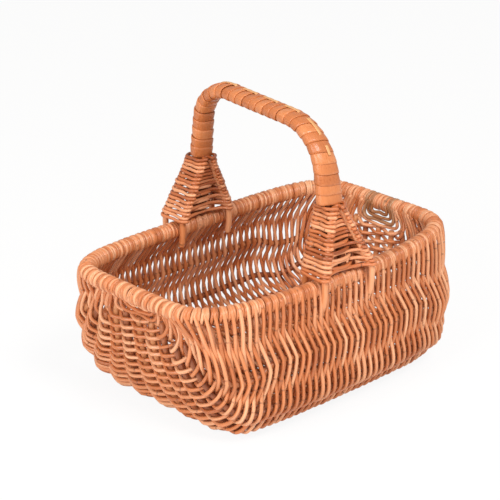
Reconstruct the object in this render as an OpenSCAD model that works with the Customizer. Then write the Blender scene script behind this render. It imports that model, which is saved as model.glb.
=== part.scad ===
// Willow trug basket with a fixed bow handle, in millimetres.
// X runs along the basket, Y across it and Z up. The origin is the middle of the underside.
// A rod hoop makes the rim, ribs run lengthwise below it, and thin rods are woven across the
// ribs from rim to rim. The woven skin is drawn as a plain shell, 4 mm thick, on the outside of
// the ribs. The handle is two rods side by side, bound with a flat strip, and each end stands
// on four splayed legs that a woven sleeve holds together.

/* [Rim] */
// Length of the rim, from centre to centre of its hoop
rim_length = 400; // [380:1:420]
// Width of the rim at the handle, from centre to centre of its hoop
rim_width = 240; // [230:1:250]
// Height of the hoop's centre at the handle
rim_height = 149; // [145:1:155]
// How much higher the hoop is at the two short ends
rim_rise = 5; // [0:0.5:8]
// Roundness of the long sides, where 2 is an ellipse and more is straighter
side_power = 2.8; // [2.4:0.1:4]
// Roundness of the short ends, where more is flatter
end_power = 6.8; // [4:0.1:8]
// Radius of the hoop rod
hoop_r = 6; // [5:0.1:6.2]
// Outer radius of the rods wrapped over the hoop
wrap_r = 10.5; // [9.5:0.1:11]

/* [Woven skin] */
// Thickness of the skin, one weaving rod
skin_t = 4; // [3:0.1:4.5]
// How far the long sides lean out at the top, as the first handle of their curve
side_lean = 53; // [40:1:60]
// Depth of that handle, as a share of the drop from the rim
side_drop = 0.6; // [0.5:0.01:0.65]
// Half the width of the flat floor
floor_half = 79; // [70:1:85]
// Reach of the curve from the floor's edge
floor_reach = 88; // [70:1:95]
// Half the length of the flat floor
floor_long = 147; // [140:1:152]
// Reach of the curve from the floor's short edge
end_reach = 29; // [25:1:33]
// How far the short ends bulge out below the rim
end_bulge = 5; // [0:0.5:8]
// Height of that bulge, as a share of the rim's height
bulge_height = 0.53; // [0.5:0.01:0.6]

/* [Ribs] */
// Radius of a rib
rib_r = 3.5; // [3:0.1:4]
// Space between a rib and the skin
rib_gap = 1; // [0.8:0.1:1.5]
// Distance of each pair of ribs from the middle, along the skin, halfway along the basket
rib_mid = [221, 165, 127, 84, 42];
// The same at the short ends, where the ribs draw together
rib_end = [104, 82, 60, 40, 21];
// Where each pair of ribs starts, as a share of the way along the basket
rib_start = [0.125, 0.095, 0.08, 0.05, 0.045];
// Where the middle rib starts
keel_start = 0.045; // [0.04:0.005:0.1]

/* [Handle] */
// Radius of each of the two bow rods
bow_r = 5.8; // [5.4:0.1:5.8]
// Distance of each bow rod from the middle of the handle
bow_off = 6; // [5.9:0.1:6.2]
// Angle of the handle to straight across the basket
handle_turn = -1.9; // [-3:0.1:3]
// Corners of the bow before they are rounded, as Y and Z, from the near foot to the far one
bow_corners = [[-119, 155.6], [-89, 317], [101, 327], [121, 155.6]];
// Radius of the near and the far shoulder
shoulder_r = [62, 46];
// Height of the top of the feet
foot_top = 236; // [230:1:240]
// Radius of a leg
leg_r = 4; // [3:0.1:4.2]
// Half the spread of the legs along the rim
leg_spread = 36; // [30:1:38]
// Distance of the legs from the hoop's centre, across the rim
leg_off = 15.5; // [15.5:0.1:16]
// Height of the outer legs' tips, in the weave below the rim
leg_tip = 120; // [115:1:125]
// How much the outer legs' tips lean in towards the weave
leg_lean = 4; // [3:0.5:5]
// Thickness of the woven sleeve round the legs
sleeve_t = 2.6; // [2:0.1:3]

/* [Handle winding] */
// Number of turns of the flat strip
turns = 24; // [20:1:24]
// Thickness of the strip
strip_t = 1.4; // [1:0.1:1.5]
// Space between one turn and the next
turn_gap = 0.6; // [0.5:0.1:1]
// Half the width of the wound handle, at the middle of the strip
wound_w = 12.9; // [12.9:0.1:13.5]
// Half its thickness, at the middle of the strip
wound_t = 7.6; // [7.5:0.1:8]
// Width of the narrow strip that lies along the top
leader_w = 4; // [3:0.5:5]
// Thickness of that strip
leader_t = 0.8; // [0.6:0.1:1]
// Its distance from the middle of the handle, to the right
leader_x = 3; // [2:0.5:4]

/* [Hidden] */

// Colours of the willow: rods in the sun, rods in shade, peeled strip, and bark-brown ribs
c_rod = "#c98757";
c_skin = "#bd7a4c";
c_rib = "#a9633b";
c_strip = "#c27c4c";
c_pale = "#dba878";

rim_a = rim_length / 2;
rim_b = rim_width / 2;
end_height = rim_height + rim_rise;
// Space left between two pieces that touch on the real basket
clear = 0.6;
// The skin starts this far from the hoop's centre, just clear of the rods wrapped over it
skin_gap = wrap_r + clear / 2;
rim_steps = 56;
row_steps = 36;
curve_steps = 14;
col_half = 16;
edge_col = 7;
corner_row = 7;
rib_sides = 6;
start_share = 0.0178;

// Length along a list of points, one value for each point
function run(p) =
  [for (i = 0, s = 0; i < len(p); i = i + 1, s = s + (i < len(p) ? norm(p[i] - p[i - 1]) : 0)) s];
// Point at length s along a list of points p with its lengths c
function along(p, c, s) =
  [for (k = [0:2]) lookup(s, [for (i = [0:len(p) - 1]) [c[i], p[i][k]]])];
// Cubic curve with two end points and two handles
function bezier(a, b, c, d, t) =
  pow(1 - t, 3) * a + 3 * pow(1 - t, 2) * t * b + 3 * (1 - t) * t * t * c + pow(t, 3) * d;
function unit(v) = v / norm(v);
function mirror_y(p) = [p[0], -p[1], p[2]];
function ease(t) = let (u = min(1, max(0, t))) u * u * (3 - 2 * u);

// The hoop's centre line in plan: an oblong with bowed sides, higher at its ends
function rim_point(a) =
  let (x = -rim_a * sign(cos(a)) * pow(abs(cos(a)), 2 / side_power))
  [x, rim_b * sign(sin(a)) * pow(abs(sin(a)), 2 / end_power),
   rim_height + rim_rise * pow(x / rim_a, 2)];
rim_line = [for (a = [0:0.5:180]) rim_point(a)];
rim_run = run(rim_line);
rim_half = rim_run[len(rim_run) - 1];
function rim_at(share) = along(rim_line, rim_run, share * rim_half);

// The skin's middle line, from the left rim down the short end, along the floor and up again
end_wall = [for (t = [0:0.05:1])
  bezier([-rim_a, 0, end_height], [-(rim_a + end_bulge), 0, end_height * bulge_height],
         [-(floor_long + end_reach), 0, 0], [-floor_long, 0, 0], t)];
mid_line = concat(end_wall, [for (k = [len(end_wall) - 1:-1:0]) [-end_wall[k][0], 0, end_wall[k][2]]]);
mid_run = run(mid_line);
mid_all = mid_run[len(mid_run) - 1];
function mid_at(share) = along(mid_line, mid_run, share * mid_all);

// One row of the weave, from the rim down the wall to the middle of the floor
function row(share) =
  let (r = rim_at(share), c = mid_at(share), g = r[1] / rim_b, f = c + [0, floor_half * g, 0],
       h = r + [0, side_lean * g, -side_drop * (r[2] - c[2])], k = f + [0, floor_reach * g, 0])
  concat([for (n = [0:curve_steps]) bezier(r, h, k, f, n / curve_steps)], [c]);
function share_of(i) = start_share + (1 - 2 * start_share) * i / row_steps;
ROWS = [for (i = [0:row_steps]) row(share_of(i))];
RUNS = [for (r = ROWS) run(r)];
LENS = [for (c = RUNS) c[len(c) - 1]];

// Point of row i at length q from the rim, on the far half
function row_at(i, q) = along(ROWS[i], RUNS[i], q);
// Unit vector out of the skin there
function out_at(i, q) =
  let (a = max(0, i - 1), b = min(row_steps, i + 1), s = q / LENS[i],
       u = row_at(b, s * LENS[b]) - row_at(a, s * LENS[a]),
       v = row_at(i, min(q + 2, LENS[i])) - row_at(i, min(q + 2, LENS[i]) - 4))
  unit(cross(u, v));

// Point of the skin at row i and column j, at depth d inside its outer face
function skin_at(i, j, d) =
  let (w = abs(j - col_half) / col_half, q = skin_gap + (LENS[i] - skin_gap) * (1 - w),
       p = row_at(i, q) - d * out_at(i, q))
  j < col_half ? mirror_y(p) : p;

// A panel of the skin between two rows and two columns. Neighbours share their edges exactly.
module panel(i0, i1, j0, j1) {
  m = j1 - j0 + 1;
  n = (i1 - i0 + 1) * m;
  function id(i, j) = (i - i0) * m + (j - j0);
  function wall(a, b, turned) =
    turned ? [[a, b + n, b], [a, a + n, b + n]] : [[a, b, b + n], [a, b + n, a + n]];
  outer = [for (i = [i0:i1]) for (j = [j0:j1]) skin_at(i, j, 0)];
  inner = [for (i = [i0:i1]) for (j = [j0:j1]) skin_at(i, j, skin_t)];
  faces = concat(
    [for (i = [i0:i1 - 1]) for (j = [j0:j1 - 1]) for (t = [0, 1])
      t == 0 ? [id(i, j), id(i + 1, j), id(i + 1, j + 1)] : [id(i, j), id(i + 1, j + 1), id(i, j + 1)]],
    [for (i = [i0:i1 - 1]) for (j = [j0:j1 - 1]) for (t = [0, 1])
      t == 0 ? [n + id(i, j), n + id(i + 1, j + 1), n + id(i + 1, j)]
             : [n + id(i, j), n + id(i, j + 1), n + id(i + 1, j + 1)]],
    [for (j = [j0:j1 - 1]) each wall(id(i0, j), id(i0, j + 1), false)],
    [for (j = [j0:j1 - 1]) each wall(id(i1, j), id(i1, j + 1), true)],
    [for (i = [i0:i1 - 1]) each wall(id(i, j0), id(i + 1, j0), true)],
    [for (i = [i0:i1 - 1]) each wall(id(i, j1), id(i + 1, j1), false)]);
  color(c_skin) polyhedron(concat(outer, inner), faces, convexity = 6);
}

module near_side_weave() { panel(corner_row, row_steps - corner_row, 0, edge_col); }
module far_side_weave() { panel(corner_row, row_steps - corner_row, 2 * col_half - edge_col, 2 * col_half); }
module floor_weave() { panel(corner_row, row_steps - corner_row, edge_col, 2 * col_half - edge_col); }
module left_end_weave() { panel(0, corner_row, 0, 2 * col_half); }
module right_end_weave() { panel(row_steps - corner_row, row_steps, 0, 2 * col_half); }

// A tube through rings of points, closed on itself or with flat ends
function side_faces(rings, sides, closed) =
  [for (i = [0:rings - (closed ? 1 : 2)]) for (k = [0:sides - 1]) for (t = [0, 1])
    let (a = i * sides, b = ((i + 1) % rings) * sides, l = (k + 1) % sides)
    t == 0 ? [a + k, b + k, b + l] : [a + k, b + l, a + l]];
module tube(rings) {
  n = len(rings);
  s = len(rings[0]);
  a = rings[0];
  ahead = cross(a[1] - a[0], a[2] - a[0]) * (rings[1][0] - a[0]) > 0;
  first_end = [for (k = [0:s - 1]) k];
  last_end = [for (k = [s - 1:-1:0]) (n - 1) * s + k];
  faces = concat(side_faces(n, s, false), [first_end, last_end]);
  polyhedron([for (r = rings) each r],
    ahead ? faces : [for (f = faces) [for (k = [len(f) - 1:-1:0]) f[k]]], convexity = 8);
}

// Points round the rim at radius r, at angles from straight out towards up
function rim_ring(i, r, angles) =
  let (share = i / rim_steps * 2, back = share > 1,
       at = function(s) s > 1 ? mirror_y(rim_at(2 - s)) : s < 0 ? mirror_y(rim_at(-s)) : rim_at(s),
       p = at(share), t = unit(at(share + 0.01) - at(share - 0.01)),
       n = unit(cross([0, 0, 1], t)), b = cross(t, n))
  [for (a = angles) p + r * (cos(a) * n + sin(a) * b)];

// The hoop: one rod bent round and joined
module rim_hoop() {
  angles = [for (k = [0:rib_sides - 1]) 360 * k / rib_sides];
  pts = [for (i = [0:rim_steps - 1]) each rim_ring(i, hoop_r, angles)];
  color(c_rib) polyhedron(pts, side_faces(rim_steps, rib_sides, true), convexity = 6);
}

// The rods wrapped over the hoop, as one ring that is open below, where the rods leave it
module rim_wrap() {
  open = 35;
  arc = 8;
  sides = 2 * (arc + 1);
  angles = [for (k = [0:arc]) open - 90 + k * (360 - 2 * open) / arc];
  pts = [for (i = [0:rim_steps - 1])
    let (o = rim_ring(i, wrap_r, angles), n = rim_ring(i, hoop_r + clear, angles))
    each concat(o, [for (k = [arc:-1:0]) n[k]])];
  color(c_rod) polyhedron(pts, side_faces(rim_steps, sides, true), convexity = 8);
}

// A rib on the inside of the skin. Its distance w from the middle changes along the basket.
module rib(w_mid, w_end, start, near) {
  rows = [for (i = [0:row_steps]) if (share_of(i) >= start && share_of(i) <= 1 - start) i];
  function reach(i) = let (s = min(share_of(i), 1 - share_of(i)))
    w_end + (w_mid - w_end) * ease((s - 0.08) / 0.24);
  function core(i) = let (q = LENS[i] - reach(i))
    row_at(i, q) - (skin_t + rib_gap + rib_r) * out_at(i, q);
  rings = [for (k = [0:2:len(rows) - 1]) let (i = rows[k])
    let (q = LENS[i] - reach(i), p = core(i), n = out_at(i, q),
         t = unit(core(min(i + 1, row_steps)) - core(max(i - 1, 0))), b = unit(cross(t, n)), m = cross(b, t))
    [for (k = [0:rib_sides - 1])
      p + rib_r * (cos(360 * k / rib_sides + 30) * b + sin(360 * k / rib_sides + 30) * m)]];
  color(c_rib) mirror([0, near ? 1 : 0, 0]) tube(rings);
}

module keel_rib() { rib(0, 0, keel_start, false); }
module side_rib(k, near) { rib(rib_mid[k], rib_end[k], rib_start[k], near); }
module near_upper_rib() { side_rib(0, true); }
module near_lower_rib() { side_rib(1, true); }
module near_edge_rib() { side_rib(2, true); }
module near_outer_floor_rib() { side_rib(3, true); }
module near_inner_floor_rib() { side_rib(4, true); }
module far_upper_rib() { side_rib(0, false); }
module far_lower_rib() { side_rib(1, false); }
module far_edge_rib() { side_rib(2, false); }
module far_outer_floor_rib() { side_rib(3, false); }
module far_inner_floor_rib() { side_rib(4, false); }

// The bow in its own plane: three straight runs and two round shoulders
function heading(k) = let (d = bow_corners[k + 1] - bow_corners[k]) atan2(d[1], d[0]);
function turn_at(k) = heading(k) - heading(k - 1);
function setback(k) = shoulder_r[k - 1] * tan(abs(turn_at(k)) / 2);
function side_len(k) = norm(bow_corners[k + 1] - bow_corners[k]);
function dir(a) = [cos(a), sin(a)];
runs_len = [side_len(0) - setback(1), side_len(1) - setback(1) - setback(2), side_len(2) - setback(2)];
arc_len = [for (k = [1, 2]) shoulder_r[k - 1] * abs(turn_at(k)) * PI / 180];
mark = [0, runs_len[0], runs_len[0] + arc_len[0], runs_len[0] + arc_len[0] + runs_len[1],
        runs_len[0] + arc_len[0] + runs_len[1] + arc_len[1],
        runs_len[0] + arc_len[0] + runs_len[1] + arc_len[1] + runs_len[2]];
function arc_start(k) = bow_corners[k] - setback(k) * dir(heading(k - 1));
function arc_mid(k) = arc_start(k) + shoulder_r[k - 1] * dir(heading(k - 1) - 90);
// Heading and place at length s along the bow
function bow_heading(s) =
  s < mark[1] ? heading(0) :
  s < mark[2] ? heading(0) - (s - mark[1]) / shoulder_r[0] * 180 / PI :
  s < mark[3] ? heading(1) :
  s < mark[4] ? heading(1) - (s - mark[3]) / shoulder_r[1] * 180 / PI : heading(2);
function bow_at(s) =
  s < mark[1] ? bow_corners[0] + s * dir(heading(0)) :
  s < mark[2] ? arc_mid(1) + shoulder_r[0] * dir(bow_heading(s) + 90) :
  s < mark[3] ? bow_corners[1] + (setback(1) + s - mark[2]) * dir(heading(1)) :
  s < mark[4] ? arc_mid(2) + shoulder_r[1] * dir(bow_heading(s) + 90) :
  bow_corners[2] + (setback(2) + s - mark[4]) * dir(heading(2));
function bend_at(s) =
  s > mark[1] && s < mark[2] ? 1 / shoulder_r[0] : s > mark[3] && s < mark[4] ? 1 / shoulder_r[1] : 0;
// The bend that leaves least room for a strip at length s, inside or outside the curve
function tight_bend(s, off, span) =
  let (b = [for (d = [-span, 0, span]) bend_at(s + d)]) off < 0 ? max(b) : min(b);

// One of the two bow rods, side by side from foot to foot
module bow_rod(side) {
  bends = 8;
  stops = concat([0], [for (k = [0:bends]) mark[1] + arc_len[0] * k / bends],
    [for (k = [0:bends]) mark[3] + arc_len[1] * k / bends], [mark[5]]);
  rings = [for (s = stops) let (p = bow_at(s), up = dir(bow_heading(s) + 90))
    [for (a = [0:30:330]) let (over = bow_r * sin(a))
      [side * bow_off + bow_r * cos(a), p[0] + over * up[0], p[1] + over * up[1]]]];
  color(c_rib) rotate([0, 0, handle_turn]) tube(rings);
}
module left_bow_rod() { bow_rod(-1); }
module right_bow_rod() { bow_rod(1); }

// The winding: a flat strip that climbs one pitch in each turn round both bow rods
function foot_len(k) =
  (foot_top + 2 - bow_corners[k == 0 ? 0 : 3][1]) / abs(sin(heading(k == 0 ? 0 : 2)));
wound_from = foot_len(0);
wound_to = mark[5] - foot_len(1);
steps = 24;
last_ring = turns * steps;
// Half a pitch stays free at each end, so the strip's whole width lies between the two feet
pitch = (wound_to - wound_from) / (turns + 1);
// The winding's cross-section is a rounded oblong, and so is the path of its normals
wound_power = 2.6;
normal_power = wound_power / (wound_power - 1);
// The strip's two edges are bevelled by this much
strip_bevel = 1;
function squircle(c, n) = sign(c) * pow(abs(c), 2 / n);
function wound_ring(m) =
  let (a = 360 * m / steps, s = wound_from + pitch * (m / steps + 0.5), h = bow_heading(s), p = bow_at(s),
       cx = squircle(cos(a), wound_power), cn = squircle(sin(a), wound_power),
       fx = squircle(cos(a), normal_power), fn = squircle(sin(a), normal_power),
       off = wound_t * cn, up = dir(h + 90), ahead = dir(h),
       mid = [wound_w * cx, p[0] + off * up[0], p[1] + off * up[1]],
       n = unit([fx / wound_w, fn * up[0] / wound_t, fn * up[1] / wound_t]),
       f = [0, ahead[0], ahead[1]],
       w = (pitch * (1 + tight_bend(s, off, pitch / 2) * off) - turn_gap) / 2, v = w - strip_bevel)
  [for (q = [[w, 0], [v, 1], [-v, 1], [-w, 0], [-v, -1], [v, -1]])
    mid + q[0] * f + q[1] * strip_t / 2 * n];
WOUND = [for (m = [0:last_ring]) wound_ring(m)];
echo(least_gap_in_winding = min([for (m = [0:last_ring - steps]) norm(WOUND[m][0] - WOUND[m + steps][3])]));
echo(pitch_of_winding = pitch);
module handle_winding() {
  color(c_strip) rotate([0, 0, handle_turn]) tube(WOUND);
}

// The leader: a narrow peeled strip along the top of the handle, over the winding
module handle_leader() {
  n = 40;
  before_shoulder = 5;
  from = mark[1] - before_shoulder;
  to = mark[4] - 4 * before_shoulder;
  w = leader_w / 2;
  over = wound_t + strip_t / 2 + clear;
  rings = [for (i = [0:n])
    let (s = from + (to - from) * i / n, p = bow_at(s), up = dir(bow_heading(s) + 90))
    [for (q = [[-w, over], [w, over], [w, over + leader_t], [-w, over + leader_t]])
      [q[0] + leader_x, p[0] + q[1] * up[0], p[1] + q[1] * up[1]]]];
  color(c_pale) rotate([0, 0, handle_turn]) tube(rings);
}

// Round rod through points that lie one above another, from the top down, with a thin tip
module rod(p, r, tip_r) {
  sides = 10;
  rings = [for (i = [0:len(p) - 1]) let (q = i == len(p) - 1 ? tip_r : r)
    [for (k = [0:sides - 1]) p[i] + q * [cos(360 * k / sides), -sin(360 * k / sides), 0]]];
  tube(rings);
}

// Middle of the bow at height z of a foot, and the hoop's centre below it
function bow_y(near, z) =
  let (c = bow_corners[near ? 0 : 3], a = heading(near ? 0 : 2)) c[0] + (z - c[1]) / tan(a);
function hoop_y(near) = near ? -rim_b : rim_b;
// Distance of a leg's top from the middle of the handle, along the basket
leg_top_x = 6.5;
// A leg leans from beside the bow to the side of the rim. An outer one is driven into the weave.
module leg(near, outer, side) {
  away = (near ? -1 : 1) * (outer ? 1 : -1);
  x = side * leg_spread;
  y = hoop_y(near) + away * leg_off;
  top_z = foot_top - 1.5 * leg_r;
  top = [side * leg_top_x, bow_y(near, top_z) + away * (bow_r + leg_r + clear), top_z];
  knee = [x, y, rim_height + 3 * leg_r];
  low = [x, y, rim_height - 2 * leg_r];
  tip = outer ? [x, y - away * leg_lean, leg_tip] : [x, y, rim_height - 5 * leg_r];
  color(c_rod) rotate([0, 0, handle_turn]) rod([top, knee, low, tip], leg_r, 1.5);
}
module near_outer_left_leg() { leg(true, true, -1); }
module near_outer_right_leg() { leg(true, true, 1); }
module near_inner_left_leg() { leg(true, false, -1); }
module near_inner_right_leg() { leg(true, false, 1); }
module far_outer_left_leg() { leg(false, true, -1); }
module far_outer_right_leg() { leg(false, true, 1); }
module far_inner_left_leg() { leg(false, false, -1); }
module far_inner_right_leg() { leg(false, false, 1); }

// The rods woven round the legs, as one tapered sleeve: an oblong slab with round corners of
// radius r, at its low and its high end
module slab(y, z, half_x, half_y, r) {
  translate([0, y, z]) linear_extrude(0.01) hull()
    for (sx = [-1, 1]) for (sy = [-1, 1])
      translate([sx * (half_x - r), sy * (half_y - r)]) circle(r = r, $fn = 24);
}
// The space inside the sleeve, grown outwards on all sides and made longer at both ends
module taper(near, grow, extra) {
  low_z = rim_height + wrap_r + 2;
  share = extra / (foot_top - low_z);
  y_top = bow_y(near, foot_top);
  y_low = hoop_y(near) * (1 + share) - y_top * share;
  y_high = y_top * (1 + share) - hoop_y(near) * share;
  r = leg_r + 1 + grow;
  hull() {
    slab(y_low, low_z - extra, leg_spread + r, leg_off + r, r);
    slab(y_high, foot_top + extra, leg_top_x + r, bow_r + leg_r + clear + r, r);
  }
}
module foot_weave(near) {
  past_ends = 2;
  color(c_rod) rotate([0, 0, handle_turn]) difference() {
    taper(near, sleeve_t, 0);
    taper(near, 0, past_ends);
  }
}
module near_foot_weave() { foot_weave(true); }
module far_foot_weave() { foot_weave(false); }

rim_hoop();
rim_wrap();
near_side_weave();
far_side_weave();
floor_weave();
left_end_weave();
right_end_weave();
keel_rib();
near_upper_rib();
near_lower_rib();
near_edge_rib();
near_outer_floor_rib();
near_inner_floor_rib();
far_upper_rib();
far_lower_rib();
far_edge_rib();
far_outer_floor_rib();
far_inner_floor_rib();
left_bow_rod();
right_bow_rod();
handle_winding();
handle_leader();
near_outer_left_leg();
near_outer_right_leg();
near_inner_left_leg();
near_inner_right_leg();
far_outer_left_leg();
far_outer_right_leg();
far_inner_left_leg();
far_inner_right_leg();
near_foot_weave();
far_foot_weave();
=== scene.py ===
"""Willow trug basket, in metres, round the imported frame.
X runs along the basket, Y across it and Z up; the near side is -Y."""
import math

import bpy
import numpy as np
from mathutils import Matrix


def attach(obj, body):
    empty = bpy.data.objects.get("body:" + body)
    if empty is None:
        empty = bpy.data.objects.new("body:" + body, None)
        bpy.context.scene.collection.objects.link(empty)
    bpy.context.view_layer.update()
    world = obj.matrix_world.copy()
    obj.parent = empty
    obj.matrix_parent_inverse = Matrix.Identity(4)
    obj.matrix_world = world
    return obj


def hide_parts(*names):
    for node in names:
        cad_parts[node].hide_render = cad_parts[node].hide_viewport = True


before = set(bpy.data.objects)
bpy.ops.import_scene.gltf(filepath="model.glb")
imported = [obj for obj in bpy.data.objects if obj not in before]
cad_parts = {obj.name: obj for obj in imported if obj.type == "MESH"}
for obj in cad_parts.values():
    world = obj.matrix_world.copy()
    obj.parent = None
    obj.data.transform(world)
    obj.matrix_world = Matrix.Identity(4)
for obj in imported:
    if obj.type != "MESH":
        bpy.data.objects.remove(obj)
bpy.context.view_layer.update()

# Camera: the photograph's three-quarter view, from above the basket's left end, through a long
# lens. It looks at a point on the middle line, two thirds of the way up to the rim.
view_turn, view_rise, view_far = math.radians(-44.2), math.radians(23.3), 2.2397
aim = np.array([0, 0, 0.1])
back = np.array([math.sin(view_turn) * math.cos(view_rise),
                 -math.cos(view_turn) * math.cos(view_rise),
                 math.sin(view_rise)])
right = np.array([math.cos(view_turn), math.sin(view_turn), 0])


def placed(x, y, z, place):
    """Matrix whose columns are the three axes of a thing and its place."""
    return Matrix(np.vstack([np.column_stack([x, y, z, place]), [0, 0, 0, 1]]).tolist())


camera_data = bpy.data.cameras.new("camera")
camera_data.sensor_width = 36
camera_data.lens = 139.55
camera_data.shift_x, camera_data.shift_y = -0.031, 0.079
camera = bpy.data.objects.new("camera", camera_data)
bpy.context.scene.collection.objects.link(camera)
camera.matrix_world = placed(right, np.cross(back, right), back, aim + view_far * back)
bpy.context.scene.camera = camera

# Weave: 123 lengths of buffed willow rod, about 4 mm thick. Each one runs from the near rim under
# the floor to the far rim, outside one rib and inside the next, and both its ends are wound over
# the rim's hoop, which holds them.
rim_half_x, rim_half_y, rim_z, rim_rise = 0.200, 0.120, 0.149, 0.005
rim_power_x, rim_power_y = 2.8, 6.8
# the flat floor, and how far the side walls and the end walls lean and bulge on their way to it
floor_half_x, floor_half_y = 0.147, 0.079
side_lean, side_drop, floor_reach = 0.053, 0.6, 0.088
end_reach, end_bulge, bulge_height = 0.029, 0.005, 0.53
curve_points, wall_points, row_points = 1441, 200, 60
# ribs, from the upper one to the keel: distance from the keel along a row of the skin, at the
# basket's middle and towards its ends, and the share of the rim at which the rib starts
rib_r, rib_depth = 0.0035, 0.0085
rib_mid = np.array([0.221, 0.165, 0.127, 0.084, 0.042, 0])
rib_end = np.array([0.104, 0.082, 0.060, 0.040, 0.021, 0])
rib_start = np.array([0.125, 0.095, 0.080, 0.050, 0.045, 0.045])
rib_bend_from, rib_bend_over = 0.08, 0.24
rng = np.random.default_rng(7)


def ease(t):
    """Smooth step: 0 below 0, 1 above 1, and 3 t^2 - 2 t^3 between."""
    t = np.clip(t, 0, 1)
    return t * t * (3 - 2 * t)


def cubic(t, start, start_pull, end_pull, end):
    """Cubic curve for t from 0 to 1: it leaves the start towards its pull point and comes to the
    end from the other pull point, with weights (1-t)^3, 3 (1-t)^2 t, 3 (1-t) t^2 and t^3."""
    return ((1 - t) ** 3 * start + 3 * (1 - t) ** 2 * t * start_pull
            + 3 * (1 - t) * t * t * end_pull + t ** 3 * end)


def read_line(wanted, at, line):
    """Points at the wanted values on a line whose own points stand at the values at."""
    return np.stack([np.interp(wanted, at, line[:, axis]) for axis in range(3)], -1)


def even_steps(line, count):
    """Points at equal steps of length along a line, and its length."""
    run = np.r_[0, np.cumsum(np.linalg.norm(np.diff(line, axis=0), axis=1))]
    return read_line(np.linspace(0, run[-1], count), run, line), run[-1]


def skin_grid(shares, fractions):
    """The woven skin. A row starts on the rim, which is a superellipse that rises at its ends,
    and comes down as a cubic curve to the flat floor. A share says how far the row is from the
    left end to the right one, a fraction how far the point is from the middle (0) to the near
    rim (-1) or the far rim (1), by length."""
    a = np.linspace(0, np.pi, curve_points)
    x = -rim_half_x * np.sign(np.cos(a)) * np.abs(np.cos(a)) ** (2 / rim_power_x)
    y = rim_half_y * np.abs(np.sin(a)) ** (2 / rim_power_y)
    z = rim_z + rim_rise * (x / rim_half_x) ** 2
    rim, rim_length = even_steps(np.stack([x, y, z], 1), curve_points)
    top = rim_z + rim_rise
    end_wall = cubic(np.linspace(0, 1, wall_points)[:, None],
                     np.array([-rim_half_x, 0, top]),
                     np.array([-rim_half_x - end_bulge, 0, top * bulge_height]),
                     np.array([-floor_half_x - end_reach, 0, 0]),
                     np.array([-floor_half_x, 0, 0]))
    middle, _ = even_steps(np.vstack([end_wall, end_wall[::-1] * [-1, 1, 1]]), curve_points)
    at = np.linspace(0, 1, curve_points)
    row_rim, row_middle = read_line(shares, at, rim), read_line(shares, at, middle)
    width = (row_rim[:, 1] / rim_half_y)[:, None]
    row_floor = row_middle + width * [0, floor_half_y, 0]
    rim_pull = (row_rim + width * [0, side_lean, 0]
                - side_drop * (row_rim[:, 2:] - row_middle[:, 2:]) * [0, 0, 1])
    floor_pull = row_floor + width * [0, floor_reach, 0]
    t = np.linspace(0, 1, row_points)[None, :, None]
    half = cubic(t, *(points[:, None] for points in (row_rim, rim_pull, floor_pull, row_floor)))
    half = np.concatenate([half, row_middle[:, None]], 1)
    run = np.cumsum(np.linalg.norm(np.diff(half, axis=1), axis=2), 1)
    run = np.concatenate([np.zeros((len(shares), 1)), run], 1)
    wanted = run[:, -1:] * (1 - np.abs(fractions))
    grid = np.stack([read_line(*row) for row in zip(wanted, run, half)])
    grid[:, fractions < 0, 1] *= -1
    return grid, run[:, -1], rim_length


grid_shares = np.linspace(0.004, 0.996, 249)
grid_fractions = np.linspace(-1, 1, 321)
skin, row_length, rim_length = skin_grid(grid_shares, grid_fractions)
along_rim = np.gradient(skin, axis=0)
down_row = np.gradient(skin, axis=1)
skin_out = np.cross(down_row, along_rim)
skin_out /= np.linalg.norm(skin_out, axis=2, keepdims=True)


def lookup(grid, share, fraction):
    """Value of a grid at a share and a fraction, by straight interpolation both ways."""
    row = (share - grid_shares[0]) / (grid_shares[1] - grid_shares[0])
    column = (fraction + 1) / 2 * (len(grid_fractions) - 1)
    i = np.clip(row.astype(int), 0, len(grid_shares) - 2)
    j = np.clip(column.astype(int), 0, len(grid_fractions) - 2)
    u = (row - i)[..., None]
    v = (column - j)[..., None]
    return (grid[i, j] * (1 - u) * (1 - v) + grid[i + 1, j] * u * (1 - v)
            + grid[i, j + 1] * (1 - u) * v + grid[i + 1, j + 1] * u * v)


def unit(v):
    """The same directions at length 1."""
    return v / np.linalg.norm(v, axis=-1, keepdims=True)


def ring_mesh(name, rings, along, tone, around, grey, closed=False):
    """Rods as one mesh, from rings of points: rods x rings x points x 3. Four-sided faces join
    each ring to the next and the ends are capped, or the last ring is joined to the first one.
    along, tone, around and grey colour the points, and are spread over them all."""
    rods, count, sides = rings.shape[:3]
    point = np.arange(sides)
    beside = (point + 1) % sides
    ring = np.arange(count if closed else count - 1)[:, None] * sides
    next_ring = (ring + sides) % (count * sides)
    quads = np.stack([ring + point, ring + beside, next_ring + beside, next_ring + point], -1)
    rod_start = np.arange(rods)[:, None, None] * count * sides
    faces = (rod_start + quads.reshape(-1, 4)).reshape(-1, 4).tolist()
    if not closed:
        faces += (rod_start[:, 0] + point[::-1]).tolist()
        faces += (rod_start[:, 0] + (count - 1) * sides + point).tolist()
    mesh = bpy.data.meshes.new(name)
    mesh.from_pydata(rings.reshape(-1, 3).tolist(), [], faces)
    for label, value in (("along", along), ("tone", tone), ("around", around), ("grey", grey)):
        spread = np.broadcast_to(value, rings.shape[:3]).astype(np.float32)
        mesh.attributes.new(label, "FLOAT", "POINT").data.foreach_set("value", spread.ravel())
    mesh.polygons.foreach_set("use_smooth", np.ones(len(mesh.polygons), bool))
    mesh.update()
    piece = bpy.data.objects.new(name, mesh)
    bpy.context.scene.collection.objects.link(piece)
    return piece


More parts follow.
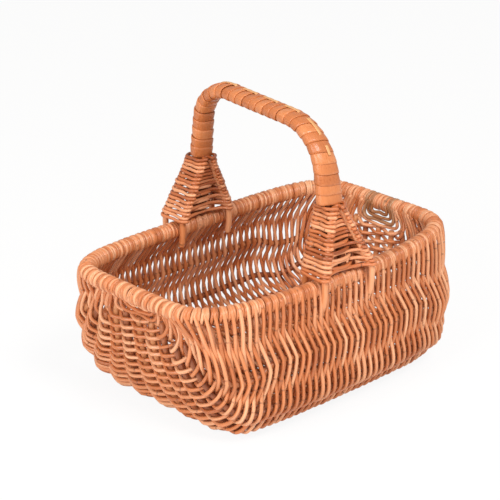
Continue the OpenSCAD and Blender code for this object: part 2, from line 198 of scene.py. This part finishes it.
def tubes(name, path, out, radius, sides, tone, grey=0, flat=None, closed=False):
    """Rods along paths, as one mesh. path, out: rods x points x 3; radius: rods x points. A ring
    is radius * (cos a * out + sin a * across), where across is square to the rod and to out.
    flat = (half width, half thickness, power) makes the section a rounded oblong instead."""
    ahead = np.gradient(path, axis=1)
    if closed:
        ahead = np.roll(path, -1, axis=1) - np.roll(path, 1, axis=1)
    across = unit(np.cross(unit(ahead), out))
    up = unit(np.cross(across, ahead))
    a = 2 * np.pi * np.arange(sides) / sides
    ca, sa = np.cos(a), np.sin(a)
    if flat:
        half_w, half_t, power = flat
        ca = half_t * np.sign(ca) * np.abs(ca) ** (2 / power)
        sa = half_w * np.sign(sa) * np.abs(sa) ** (2 / power)
    ring = ca[:, None] * up[:, :, None] + sa[:, None] * across[:, :, None]
    rings = path[:, :, None] + radius[:, :, None, None] * ring
    run = np.linalg.norm(np.diff(path, axis=1, prepend=path[:, :1]), axis=2).cumsum(1)
    piece = ring_mesh(name, rings, run[:, :, None], np.reshape(tone, (-1, 1, 1)),
                      np.arange(sides) / sides, np.reshape(grey, (-1, 1, 1)), closed)
    if not closed:
        # the cut ends are flat, and only their faces have more than four corners
        round_face = np.array([len(face.vertices) == 4 for face in piece.data.polygons])
        piece.data.polygons.foreach_set("use_smooth", round_face)
    return piece


def wander(rods, count, waves, size):
    """Smooth random wandering along each rod, as a sum of a few sine waves."""
    t = np.linspace(0, 2 * np.pi, count)
    total = np.zeros((rods, count))
    for wave in range(1, waves + 1):
        strength = rng.normal(0, 1, (rods, 1)) / wave ** 0.5
        phase = rng.uniform(0, 6.28, (rods, 1))
        total += strength * np.sin(wave * t + phase)
    return size * total / waves ** 0.5


def rib_distance(from_end):
    """Distance of each rib from the keel along a row, at a share of the rim from its nearer end."""
    return rib_end + (rib_mid - rib_end) * ease((from_end - rib_bend_from) / rib_bend_over)


def linear(hex_colour):
    """sRGB hex to linear red, green, blue, alpha."""
    c = np.array([int(hex_colour[i:i + 2], 16) for i in (1, 3, 5)]) / 255
    c = np.where(c <= 0.04045, c / 12.92, ((c + 0.055) / 1.055) ** 2.4)
    return (*c, 1)


def node(tree, kind, settings=None, **links):
    """Adds a shader node, sets its properties, and links or sets its sockets by name or, after
    an underscore, by number."""
    added = tree.nodes.new("ShaderNode" + kind)
    for key, value in (settings or {}).items():
        setattr(added, key, value)
    for key, value in links.items():
        numbered = key[0] == "_" and key[1:].isdigit()
        socket = added.inputs[int(key[1:]) if numbered else key.replace("_", " ")]
        if isinstance(value, bpy.types.NodeSocket):
            tree.links.new(value, socket)
        else:
            socket.default_value = value
    return added


def willow(name, dark, middle, pale, rough=0.33, streak=1.0, knots=True):
    """Willow rod, boiled and stripped of its bark, which leaves it satin and orange-brown. Each
    rod has its own tone, with fine streaks along it and a dark knot every 70 mm or so."""
    # streaks 62 mm long, ten of them round a rod, and patches 33 mm long, three of them round it
    streak_length, streak_turn, streak_share = 0.0625, 1.6, 0.75
    patch_length, patch_turn, patch_share = 0.1 / 3, 0.5, 0.55
    tone_low, tone_high, tone_shift = 0.45, 1.75, 37.0
    smoother, rougher, bump_strength, bump_depth = 0.08, 0.12, 0.35, 0.0006
    material = bpy.data.materials.new(name)
    material.use_nodes = True
    tree = material.node_tree
    tree.nodes.clear()
    along, tone, around, grey = (node(tree, "Attribute", {"attribute_name": label}).outputs["Fac"]
                                 for label in ("along", "tone", "around", "grey"))
    # the pattern is read at the length along the rod, moved on by 37 m times its tone so that no
    # two rods match, and at the way round it
    shift = node(tree, "Math", {"operation": "MULTIPLY_ADD"}, _0=tone, _1=tone_shift,
                 _2=along).outputs[0]
    turn = node(tree, "Math", {"operation": "MULTIPLY"}, _0=around, _1=2 * np.pi).outputs[0]
    sine = node(tree, "Math", {"operation": "SINE"}, _0=turn).outputs[0]
    cosine = node(tree, "Math", {"operation": "COSINE"}, _0=turn).outputs[0]
    place = node(tree, "CombineXYZ", None, X=shift, Y=sine, Z=cosine).outputs[0]
    scaled = node(tree, "VectorMath", {"operation": "MULTIPLY"}, _0=place,
                  _1=(1 / streak_length, streak_turn, streak_turn)).outputs[0]
    streaks = node(tree, "TexNoise", None, Vector=scaled, Scale=1.0, Detail=4.0,
                   Roughness=0.6).outputs[0]
    scaled = node(tree, "VectorMath", {"operation": "MULTIPLY"}, _0=place,
                  _1=(1 / patch_length, patch_turn, patch_turn)).outputs[0]
    patches = node(tree, "TexNoise", None, Vector=scaled, Scale=1.0, Detail=2.0).outputs[0]
    mix = node(tree, "Math", {"operation": "MULTIPLY_ADD"}, _0=streaks, _1=streak_share * streak,
               _2=tone).outputs[0]
    mix = node(tree, "Math", {"operation": "MULTIPLY_ADD"}, _0=patches, _1=patch_share * streak,
               _2=mix).outputs[0]
    mix = node(tree, "MapRange", None, Value=mix, From_Min=tone_low, From_Max=tone_high).outputs[0]
    ramp = node(tree, "ValToRGB", None, Fac=mix)
    ramp.color_ramp.elements[0].color = linear(dark)
    ramp.color_ramp.elements[1].color = linear(pale)
    ramp.color_ramp.elements.new(0.5).color = linear(middle)
    # grey-brown, on the rods that weren't stripped clean
    colour = node(tree, "Mix", {"data_type": "RGBA"}, _0=grey, _6=ramp.outputs[0],
                  _7=linear("#80603f")).outputs[2]
    bump_height = streaks
    if knots:
        # a knot is a ring 3 mm wide, every 70 mm along the rod, and fades out on one side of it
        knot_spacing, knot_half, knot_dark, knot_height = 0.070, 0.0016, 0.55, 2.0
        fade_from, fade_to = -0.3, 0.9
        beat = node(tree, "Math", {"operation": "PINGPONG"}, _0=shift, _1=knot_spacing / 2).outputs[0]
        knot = node(tree, "MapRange", {"interpolation_type": "SMOOTHSTEP"}, Value=beat, From_Min=0.0,
                    From_Max=knot_half, To_Min=1.0, To_Max=0.0).outputs[0]
        spot = node(tree, "MapRange", {"interpolation_type": "SMOOTHSTEP"}, Value=sine,
                    From_Min=fade_from, From_Max=fade_to).outputs[0]
        knot = node(tree, "Math", {"operation": "MULTIPLY"}, _0=knot, _1=spot).outputs[0]
        fade = node(tree, "Math", {"operation": "MULTIPLY"}, _0=knot, _1=knot_dark).outputs[0]
        colour = node(tree, "Mix", {"data_type": "RGBA"}, _0=fade, _6=colour,
                      _7=linear("#4a2414")).outputs[2]
        bump_height = node(tree, "Math", {"operation": "MULTIPLY_ADD"}, _0=knot, _1=knot_height,
                           _2=streaks).outputs[0]
    bump = node(tree, "Bump", None, Height=bump_height, Strength=bump_strength,
                Distance=bump_depth).outputs[0]
    shine = node(tree, "MapRange", None, Value=streaks, From_Min=0.2, From_Max=0.8,
                 To_Min=rough - smoother, To_Max=rough + rougher).outputs[0]
    shader = node(tree, "BsdfPrincipled", None, Base_Color=colour, Roughness=shine, IOR=1.5,
                  Normal=bump)
    node(tree, "OutputMaterial", None, Surface=shader.outputs[0])
    return material


# rod_edge is the share of the rim at which the first rod starts, and wound_r the distance from
# the hoop's middle to the middle of a rod wound over it
rod_pitch, rod_r, wound_r, rod_edge = 0.0045, 0.00208, 0.00825, 0.017
rods = int(rim_length * (1 - 2 * rod_edge) / rod_pitch)
rod_sides, rod_steps, wrap_steps = 8, 200, 14
share = np.linspace(rod_edge, 1 - rod_edge, rods)[:, None]
fraction = np.linspace(-1, 1, rod_steps)[None] * np.ones((rods, 1))
sign = np.where(np.arange(rods) % 2 == 0, 1.0, -1.0)[:, None]
from_end = np.minimum(share, 1 - share)
rib_fraction = rib_distance(from_end) / np.interp(share, grid_shares, row_length)

# a rod's fixed places are the near rim, 11 ribs and the far rim. A rib holds it only past the
# share at which the rib starts, and the rod swings less where no rib holds it.
hold_over, free_swing = 0.02, 0.15
held = ease((from_end - rib_start + hold_over / 2) / hold_over)
at_rim = np.ones((rods, 1))
stops = np.concatenate([-at_rim, -rib_fraction, rib_fraction[:, -2::-1], at_rim], 1)
grip = np.concatenate([at_rim, held, held[:, -2::-1], at_rim], 1)
stop_count = stops.shape[1]
swing = sign * (-1.0) ** np.arange(stop_count)

# height over the skin at each stop: clear of the hoop at the rim, and of the rib elsewhere. The
# weave's middle stands 0.3 mm outside the ribs' own. Any more would bring the rods below z 0.
reach = np.full(stop_count, rib_r + rod_r)
reach[[0, -1]] = wound_r
centre = np.full(stop_count, -rib_depth + 0.0003)
centre[[0, -1]] = 0
height = centre + swing * reach * (free_swing + (1 - free_swing) * grip)

# sideways drift of the rods, in millimetres, at each stop and halfway to the next, from the rim
# to the keel, which makes the zigzag: they run straight and kink at the ribs and where they cross
drift = np.array([0, -4.5, 1.5, -4, -4.5, -3, -5, -3, -1, 0, 0, 0, 0]) / 1000
drift = np.r_[drift, drift[-2::-1]]
drift_from, drift_over = 0.1, 0.15
segment = (fraction[:, :, None] >= stops[:, None, :]).sum(2) - 1
segment = np.clip(segment, 0, stop_count - 2)
low = np.take_along_axis(stops, segment, 1)
high = np.take_along_axis(stops, segment + 1, 1)
portion = (fraction - low) / (high - low)
# willow is stiff: between two stops a rod is part smooth wave, part straight line
wave_part = 0.6
between = wave_part * ease(portion) + (1 - wave_part) * portion
lift = (np.take_along_axis(height, segment, 1) * (1 - between)
        + np.take_along_axis(height, segment + 1, 1) * between)
slide = np.interp(segment + portion, np.arange(len(drift)) / 2, drift)
slide = slide * ease((from_end - drift_from) / drift_over)
# no rod is quite straight: a few slow waves along the rim, and quicker ones through the skin
slow_waves, slow_size, quick_waves, quick_size, end_margin = 5, 0.0007, 9, 0.00035, 0.006
slow = wander(rods, rod_steps, slow_waves, slow_size)
slide = slide + slow * np.sin(np.pi * (fraction + 1) / 2) ** 0.5
moved = np.clip(share + slide / rim_length, end_margin, 1 - end_margin)
lift = lift + wander(rods, rod_steps, quick_waves, quick_size)
path = lookup(skin, moved, fraction) + lift[:, :, None] * lookup(skin_out, moved, fraction)
out = lookup(skin_out, moved, fraction)


def hoop_frame(edge, end):
    """At shares of the near rim (end -1) or the far rim (end 1): the hoop's middle, the way out of
    the skin, the way along the rim, and the way up, which is square to both."""
    at = 0 * edge + end
    hub, normal = lookup(skin, edge, at), lookup(skin_out, edge, at)
    rim_way = unit(lookup(along_rim, edge, at))
    up = np.cross(rim_way, normal)
    up *= np.sign(up[:, 2:])
    return hub, normal, rim_way, up


def over_hoop(end, way):
    """Turn of each rod over the hoop: a circle arc round the hoop's centre from the rod's side
    of it, over the top and down the other side, with a slight slant along the rim. The last part
    of the turn is pressed 0.9 mm nearer to the hoop."""
    least_angle, most_angle, least_slant, most_slant = 205, 240, 0.001, 0.0032
    pressed, pressed_from, pressed_over = 0.0009, 2.9, 0.6
    hub, normal, rim_way, up = hoop_frame(share[:, 0], end)
    angle = np.radians(rng.uniform(least_angle, most_angle, (rods, 1)))
    a = np.linspace(0, 1, wrap_steps + 1)[None, 1:] * angle
    ca, sa = np.cos(a)[:, :, None] * sign[:, :, None], np.sin(a)[:, :, None]
    ray = ca * normal[:, None] + sa * up[:, None]
    slant = way * sign * rng.uniform(least_slant, most_slant, (rods, 1)) * a / np.pi
    pressed_r = wound_r - pressed * ease((a - pressed_from) / pressed_over)
    return hub[:, None] + pressed_r[:, :, None] * ray + slant[:, :, None] * rim_way[:, None], ray


near_turn, near_ray = over_hoop(-1, 1)
far_turn, far_ray = over_hoop(1, -1)
path = np.concatenate([near_turn[:, ::-1], path, far_turn], 1)
out = np.concatenate([near_ray[:, ::-1] * sign[:, :, None], out, far_ray * sign[:, :, None]], 1)
rod_girth, girth_waves, girth_change = (0.95, 1.15), 3, 0.05
girth = rng.uniform(*rod_girth, (rods, 1)) * rod_r
girth = girth * (1 + wander(rods, path.shape[1], girth_waves, girth_change))
rod_tone = (0.2, 0.86)
tone = rng.uniform(*rod_tone, rods)
# at the far right end most rods are greyer
grey_from, grey_chance, grey_share = 0.955, 0.6, 0.6
is_grey = (share[:, 0] > grey_from) & (rng.uniform(0, 1, rods) < grey_chance)
grey = np.where(is_grey, grey_share, 0.0)
weave_finish = willow("buffed_willow_rod", "#8f4420", "#cb7a49", "#eeb68c")
replaced = [["left_end_weave", "rim_wrap"], ["near_side_weave"], ["floor_weave"], ["floor_weave"],
            ["far_side_weave"], ["right_end_weave"]]
groups = np.array_split(np.arange(rods), len(replaced))
for number, (group, nodes) in enumerate(zip(groups, replaced)):
    piece = tubes(f"weave_rods_{number + 1}", path[group], out[group], girth[group], rod_sides,
                  tone[group], grey[group])
    piece.data.materials.append(weave_finish)
    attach(piece, "root")
    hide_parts(*nodes)

# Rim filling: short lengths of the same willow, wound round the hoop between the weavers' turns
# so that no hoop shows, and side by side at the two end middles. They are closed rings, and
# those between turns lie a little lower than the turns.
fill_sides, ring_steps, fill_r, fill_slant = 6, 28, 0.0020, 0.0012
low_sunk, end_sunk, end_edge = 0.0008, 0.0001, 0.016
end_share = np.linspace(0.004, 0.0155, 6)
fill_share = np.r_[end_share, (share[1:, 0] + share[:-1, 0]) / 2, 1 - end_share]
at_end = (fill_share < end_edge) | (fill_share > 1 - end_edge)
sunk = np.where(at_end, end_sunk, low_sunk)[:, None, None]
ring_a = 2 * np.pi * np.arange(ring_steps) / ring_steps
ring_cos, ring_sin = np.cos(ring_a)[None, :, None], np.sin(ring_a)[None, :, None]
fill_rings = []
fill_rays = []
for end in (-1, 1):
    hub, normal, rim_way, up = hoop_frame(fill_share, end)
    ray = ring_cos * normal[:, None] + ring_sin * up[:, None]
    fill_rings.append(hub[:, None] + (wound_r - sunk) * ray + fill_slant * ring_sin * rim_way[:, None])
    fill_rays.append(ray)
fill_rings, fill_rays = np.concatenate(fill_rings), np.concatenate(fill_rays)
piece = tubes("rim_filling", fill_rings, fill_rays, np.full(fill_rings.shape[:2], fill_r), fill_sides,
              rng.uniform(*rod_tone, len(fill_rings)), closed=True)
piece.data.materials.append(weave_finish)
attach(piece, "root")

# Hoop and bow rods: thick willow, with the hoop bent round to a closed oblong and the two bow
# rods side by side inside the handle. What is wound over them hides most of them, so they keep
# the CAD shape. Thick rods are darker and duller than the weavers.
thick_finish = willow("thick_willow_rod", "#7c3f22", "#a9633b", "#c98757", 0.45)
for name in ("rim_hoop", "left_bow_rod", "right_bow_rod"):
    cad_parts[name].data.materials.clear()
    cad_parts[name].data.materials.append(thick_finish)

# Ribs: thicker rods, 7 mm across, that run lengthwise inside the outer weavers and outside the
# inner ones. Their ends are cut square near the corners.
rib_steps, thick_sides = 150, 12
rib_labels = ("upper", "lower", "edge", "outer_floor", "inner_floor", "keel")
for rib, (label, start) in enumerate(zip(rib_labels, rib_start)):
    for way, word in ((-1, "near"), (1, "far")):
        if label == "keel" and way == 1:
            continue
        rib_share = np.linspace(start, 1 - start, rib_steps)
        distance = rib_distance(np.minimum(rib_share, 1 - rib_share)[:, None])[:, rib]
        rib_at = way * distance / np.interp(rib_share, grid_shares, row_length)
        normal = lookup(skin_out, rib_share, rib_at)
        line = lookup(skin, rib_share, rib_at) - rib_depth * normal
        name = "keel_rib" if label == "keel" else f"{word}_{label}_rib"
        piece = tubes(name + "_rod", line[None], normal[None], np.full((1, rib_steps), rib_r),
                      thick_sides, rng.uniform(0, 1, 1))
        piece.data.materials.append(thick_finish)
        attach(piece, "root")
        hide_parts(name)

# Handle winding: one flat strip of split willow, wound tightly round the two bow rods from foot
# to foot. Each turn lies over the edge of the turn before it.
bow_corners = np.array([[-0.119, 0.1556], [-0.089, 0.317], [0.101, 0.327], [0.121, 0.1556]])
shoulder_r = (0.062, 0.046)
handle_turn = math.radians(-1.9)
foot_top = 0.236
shoulder_points, bow_points, smooth_points = 40, 2001, 61


def bow_line():
    """Middle of the bow in its own plane: three straight runs and two round shoulders."""
    runs = np.diff(bow_corners, axis=0)
    heading = np.arctan2(runs[:, 1], runs[:, 0])
    points = [bow_corners[0]]
    for k in (1, 2):
        before, radius = heading[k - 1], shoulder_r[k - 1]
        turn = before - heading[k]
        cut = radius * math.tan(turn / 2)
        start = bow_corners[k] - cut * np.array([math.cos(before), math.sin(before)])
        hub = start + radius * np.array([math.sin(before), -math.cos(before)])
        a = before + np.pi / 2 - np.linspace(0, turn, shoulder_points)
        points += list(hub + radius * np.stack([np.cos(a), np.sin(a)], 1))
    points.append(bow_corners[3])
    line = np.array(points)
    return np.column_stack([np.zeros(len(line)), line])


bow, bow_length = even_steps(bow_line(), bow_points)
bow_step = bow_length / (bow_points - 1)
# the bow's heading is averaged over a short length, so that the turns fan out evenly
bow_ahead = unit(np.gradient(bow, axis=0))
kernel = np.ones(smooth_points) / smooth_points
padding = smooth_points // 2
padded = np.pad(bow_ahead, ((padding, padding), (0, 0)), mode="edge")
bow_ahead = unit(np.stack([np.convolve(padded[:, k], kernel, "valid") for k in range(3)], 1))
bow_up = np.stack([np.zeros(len(bow)), -bow_ahead[:, 2], bow_ahead[:, 1]], 1)
bow_bend = np.linalg.norm(np.gradient(bow_ahead, axis=0), axis=1) / bow_step


def on_bow(values, s):
    """Value at length s along the bow, for a table with a row for each step of it."""
    at = np.clip(s / bow_length, 0, 1) * (len(values) - 1)
    if values.ndim == 1:
        return np.interp(at, np.arange(len(values)), values)
    return read_line(at, np.arange(len(values)), values)


def turned(points):
    """The handle stands turned by a small angle about the upright."""
    c, s = math.cos(handle_turn), math.sin(handle_turn)
    return points @ np.array([[c, s, 0], [-s, c, 0], [0, 0, 1]])


def rounded(value, power):
    """A cosine or sine raised to a power with its sign kept, for a superellipse's points."""
    return np.sign(value) * np.abs(value) ** power


# half width and half thickness of the winding, and its outline's power
wound_w, wound_t, wound_power = 0.0125, 0.0074, 2.6
turns, turn_steps, turn_length = 29, 32, 0.066
# half the strip's thickness, how much wider it is than its pitch, and its tilt over the last turn
strip_half, strip_overlap, strip_tilt = 0.0012, 1.16, 0.0007
half_bow = bow_points // 2
strip_z = foot_top - 0.001
strip_start = np.interp(strip_z, bow[:half_bow, 2], np.arange(half_bow)) * bow_step
strip_end = bow_length - np.interp(strip_z, bow[:half_bow:-1, 2], np.arange(half_bow)) * bow_step
strip_pitch = (strip_end - strip_start) / (turns + 0.5)
turn_a = np.linspace(0, 2 * np.pi * turns, turns * turn_steps + 1)
turn_cos, turn_sin = np.cos(turn_a), np.sin(turn_a)
# two slow waves, by size and by waves a turn, keep the turns from being all alike
strip_s = strip_start + strip_pitch * (turn_a / (2 * np.pi) + 0.25)
for wave_size, wave_rate in ((0.0006, 0.37), (0.0004, 0.83)):
    strip_s = strip_s + wave_size * np.sin(turn_a * wave_rate)
# the winding widens towards the feet, over the tops of the legs
near_flare, near_flare_over, far_flare, far_flare_over = 0.3, 0.085, 0.1, 0.05
flare = (1 + near_flare * ease(1 - (strip_s - strip_start) / near_flare_over)
         + far_flare * ease(1 - (strip_end - strip_s) / far_flare_over))
strip_x = flare * wound_w * rounded(turn_cos, 2 / wound_power)
over = wound_t * rounded(turn_sin, 2 / wound_power)
strip_up, strip_ahead = on_bow(bow_up, strip_s), on_bow(bow_ahead, strip_s)
strip_middle = on_bow(bow, strip_s) + over[:, None] * strip_up + strip_x[:, None] * [1, 0, 0]
normal_power = 2 - 2 / wound_power
outward = unit((rounded(turn_cos, normal_power) / wound_w)[:, None] * [1, 0, 0]
               + (rounded(turn_sin, normal_power) / wound_t)[:, None] * strip_up)
# outside a shoulder the turns stand further apart, so the strip is drawn wider there
half_width = 0.5 * strip_pitch * strip_overlap * (1 + on_bow(bow_bend, strip_s) * over)
# the strip's section: across its width from -1 to 1 and back, and through its thickness
section_v = np.array([-1, -0.93, -0.6, 0, 0.6, 0.93, 1, 0.93, 0, -0.93])
section_t = np.array([0, 0.5, 0.75, 0.8, 0.75, 0.5, 0, -0.5, -0.8, -0.5]) * strip_half
strip = (strip_middle[:, None]
         + half_width[:, None, None] * section_v[None, :, None] * strip_ahead[:, None]
         + (section_t[None, :, None] - strip_tilt * section_v[None, :, None]) * outward[:, None])
strip_run = (turn_a / (2 * np.pi) * turn_length)[:, None]
# the strip's colour changes slowly along it. Across it the pattern runs as it does two fifths of
# the way round a rod.
middle_tone, tone_change, tone_rate, width_share = 0.5, 0.16, 0.31, 0.2
strip_tone = middle_tone + tone_change * np.sin(turn_a * tone_rate)[:, None]
winding = ring_mesh("handle_strip", turned(strip)[None], strip_run, strip_tone,
                    section_v * width_share, 0)
# a skein is a rod split and shaved flat: no knots are left, and it is a little glossier than a rod
winding.data.materials.append(willow("split_willow_skein", "#964a22", "#c97845", "#e6a676",
                                     0.3, 0.8, False))
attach(winding, "root")
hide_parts("handle_winding")

# Leader: a narrow pale strip of split willow, laid along the top of the handle and caught under
# every third turn of the winding, which holds it.
leader_points, leader_sides, leader_x = 400, 12, 0.003
leader_half_w, leader_half_t, leader_power = 0.0019, 0.0005, 4
near_bare, far_bare, turns_apart = 0.052, 0.075, 3
leader_rise, leader_dive, dive_from, dive_over = 0.0016, 0.0030, 0.25, 0.5
leader_s = np.linspace(strip_start + near_bare, strip_end - far_bare, leader_points)
beat = np.cos(2 * np.pi * (leader_s - strip_start) / (strip_pitch * turns_apart))
rise = wound_t + leader_rise - leader_dive * ease((beat - dive_from) / dive_over)
leader_up = on_bow(bow_up, leader_s)
leader = on_bow(bow, leader_s) + rise[:, None] * leader_up + [leader_x, 0, 0]
piece = tubes("leader_strip", turned(leader)[None], turned(leader_up)[None],
              np.ones((1, leader_points)), leader_sides, 0.7,
              flat=(leader_half_w, leader_half_t, leader_power))
# the leader shows the pale inner side of the split rod, which is duller than its skin
piece.data.materials.append(willow("pale_split_willow", "#a4673a", "#d0965f", "#e6b783",
                                   0.4, 0.8, False))
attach(piece, "root")
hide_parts("handle_leader")

# Feet: on each side four splayed legs straddle the rim, and thin rods are woven round them and
# the bow, row above row. The outer legs are pointed and pushed down into the weave.
leg_r, leg_points, leg_tip, inner_leg_end = 0.0036, 60, 0.120, rim_z - 0.018
# a leg is a straight line from the knee, beside the rim, to the top, beside the bow
knee_x, knee_off, knee_z = 0.036, 0.0155, rim_z + 0.012
top_x, top_off, top_z = 0.0065, 0.0104, foot_top - 0.006
point_length, point_taper = 0.014, 0.6
tuck, tuck_over = 0.004, 0.03
foot_rod_r, row_pitch, rows, curve_steps = 0.0020, 0.0044, 17, 10
# both are satin like the weavers, the legs as bright and the fine rods a little darker
leg_finish = willow("leg_willow_rod", "#94471f", "#cf7c48", "#ecb084")
foot_finish = willow("fine_willow_rod", "#8c421e", "#c87444", "#e8a67a")


def bow_y(side, z):
    """Y of the bow's middle at a height z of a foot."""
    low, high = (bow_corners[0], bow_corners[1]) if side < 0 else (bow_corners[3], bow_corners[2])
    return low[0] + (z - low[1]) * (high[0] - low[0]) / (high[1] - low[1])


def leg_at(side, away, z):
    """X and Y of a leg at a height z: a straight line above the knee, and upright below it."""
    t = np.clip((z - knee_z) / (top_z - knee_z), 0, 1.2)
    top_y = bow_y(side, top_z) + side * away * top_off
    knee_y = side * (rim_half_y + away * knee_off)
    return knee_x + (top_x - knee_x) * t, knee_y + (top_y - knee_y) * t


def closed_curve(points, count):
    """Smooth closed curve through points, by Catmull-Rom pieces of count steps each."""
    p0, p1, p2, p3 = (np.roll(points, k, axis=1)[:, :, None] for k in (1, 0, -1, -2))
    t = (np.arange(count) / count)[:, None]
    curve = 0.5 * (2 * p1 + (p2 - p0) * t + (2 * p0 - 5 * p1 + 4 * p2 - p3) * t ** 2
                   + (3 * p1 - p0 - 3 * p2 + p3) * t ** 3)
    return curve.reshape(len(points), -1, 3)


def add_legs(side, word):
    """Four legs of a foot: an outer pair, which end in points, and an inner pair."""
    for away, where in ((1, "outer"), (-1, "inner")):
        for hand, name in ((-1, "left"), (1, "right")):
            bottom = leg_tip if away > 0 else inner_leg_end
            z = np.linspace(foot_top - 0.004, bottom, leg_points)
            x, y = leg_at(side, away, z)
            y = y - side * away * tuck * ease((rim_z - z) / tuck_over)
            line = turned(np.stack([hand * x, y, z], 1))[None]
            point = ease((leg_tip + point_length - z) / point_length)
            radius = leg_r * (1 - point_taper * point)[None]
            face = turned(np.tile([0.0, side * away, 0.0], (leg_points, 1)))[None]
            leg = tubes(f"{word}_{where}_{name}_leg_rod", line, face, radius, thick_sides,
                        rng.uniform(0.3, 0.9, 1))
            leg.data.materials.append(leg_finish)
            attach(leg, "root")
            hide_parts(f"{word}_{where}_{name}_leg")


def add_foot_rods(side, word):
    """Rods round a foot, one closed curve a row. From above, a row's curve goes round the outside
    of the four legs and is drawn in to the bow between them. In the lower rows every second one
    passes behind the bow and slopes a little."""
    bow_gap, in_gap, slope, least_wide = 0.0078, 0.0022, 0.0016, 0.0134
    top_gap, waist_in, behind_from, most_half, dip_part = 0.0015, 0.001, 0.019, 0.010, 0.6
    uneven, girth_waves, girth_change = 0.00035, 4, 0.06
    z = foot_top - top_gap - row_pitch * np.arange(rows)
    leg_x, outer_y = leg_at(side, 1, z)
    _, inner_y = leg_at(side, -1, z)
    bow_at = bow_y(side, z)
    clear = leg_r + foot_rod_r
    wide = np.maximum(leg_x + clear, least_wide)
    waist = wide - waist_in
    front, rear = outer_y + side * clear, inner_y - side * clear
    middle_y = (outer_y + inner_y) / 2
    behind = (np.arange(rows) % 2 == 1) & (leg_x > behind_from)
    cross = side * np.where(behind, -bow_gap, bow_gap)
    low = np.where(behind, slope, 0)
    half = np.minimum(leg_x * 0.5, most_half)
    dip = dip_part * (leg_x + half)
    front_in = 0.5 * (front + bow_at + cross) - side * in_gap
    rear_in = 0.5 * (rear + bow_at - cross) + side * in_gap
    corners = [(-leg_x, front, 0), (-dip, front_in, 0), (-half, bow_at + cross, low),
               (half, bow_at + cross, low), (dip, front_in, 0), (leg_x, front, 0),
               (wide, outer_y, 0), (waist, middle_y, 0), (wide, inner_y, 0),
               (leg_x, rear, 0), (dip, rear_in, 0), (half, bow_at - cross, -low),
               (-half, bow_at - cross, -low), (-dip, rear_in, 0), (-leg_x, rear, 0),
               (-wide, inner_y, 0), (-waist, middle_y, 0), (-wide, outer_y, 0)]
    loop = np.stack([np.stack([x, y, z + dz], 1) for x, y, dz in corners], 1)
    loop = loop + rng.normal(0, uneven, loop.shape)
    curve = turned(closed_curve(loop, curve_steps))
    upright = np.zeros_like(curve) + [0, 0, 1.0]
    radius = foot_rod_r * (1 + wander(rows, curve.shape[1], girth_waves, girth_change))
    foot = tubes(f"{word}_foot_rods", curve, upright, radius, rod_sides, rng.uniform(0, 1, rows),
                 closed=True)
    foot.data.materials.append(foot_finish)
    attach(foot, "root")
    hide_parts(f"{word}_foot_weave")


for side, word in ((-1, "near"), (1, "far")):
    add_legs(side, word)
    add_foot_rods(side, word)

# Floor and backdrop: a sheet of matte white paper under the basket, and a white room round it
# that lights it softly. The camera sees both of them near full white.
bpy.ops.mesh.primitive_plane_add(size=12)
floor = bpy.context.object
floor.name = "floor"
paper = bpy.data.materials.new("white_paper")
paper.use_nodes = True
tree = paper.node_tree
tree.nodes.clear()
seen = node(tree, "LightPath").outputs["Is Camera Ray"]
glow_share = node(tree, "Math", {"operation": "MULTIPLY"}, _0=seen, _1=0.9).outputs[0]
matte = node(tree, "BsdfDiffuse", None, Color=linear("#f4f2ef")).outputs[0]
glow = node(tree, "Emission", None, Color=(1, 1, 1, 1), Strength=1.0).outputs[0]
mixed = node(tree, "MixShader", None, Fac=glow_share, _1=matte, _2=glow).outputs[0]
node(tree, "OutputMaterial", None, Surface=mixed)
floor.data.materials.append(paper)
world = bpy.data.worlds.new("studio")
bpy.context.scene.world = world
world.use_nodes = True
tree = world.node_tree
tree.nodes.clear()
seen = node(tree, "LightPath").outputs["Is Camera Ray"]
strength = node(tree, "MapRange", None, Value=seen, To_Min=0.55, To_Max=1.0).outputs[0]
sky = node(tree, "Background", None, Color=(1, 1, 1, 1), Strength=strength).outputs[0]
node(tree, "OutputWorld", None, Surface=sky)


# Lamps: two large soft boxes, a key from the near side and above, and a fill from the left. Their
# soft shadows fall behind the basket and to its right.
def soft_box(name, place, size, watts):
    """Square area lamp that faces the basket's middle."""
    lamp = bpy.data.lights.new(name, "AREA")
    lamp.size, lamp.energy = size, watts
    holder = bpy.data.objects.new(name, lamp)
    bpy.context.scene.collection.objects.link(holder)
    z = unit(np.array(place) - aim)
    x = unit(np.cross([0, 0, 1], z))
    holder.matrix_world = placed(x, np.cross(z, x), z, place)


soft_box("key", (-0.3, -1.5, 2.0), 0.7, 39)
soft_box("fill", (-1.9, -0.3, 1.0), 0.9, 24)

scene = bpy.context.scene
scene.view_settings.view_transform = "Standard"
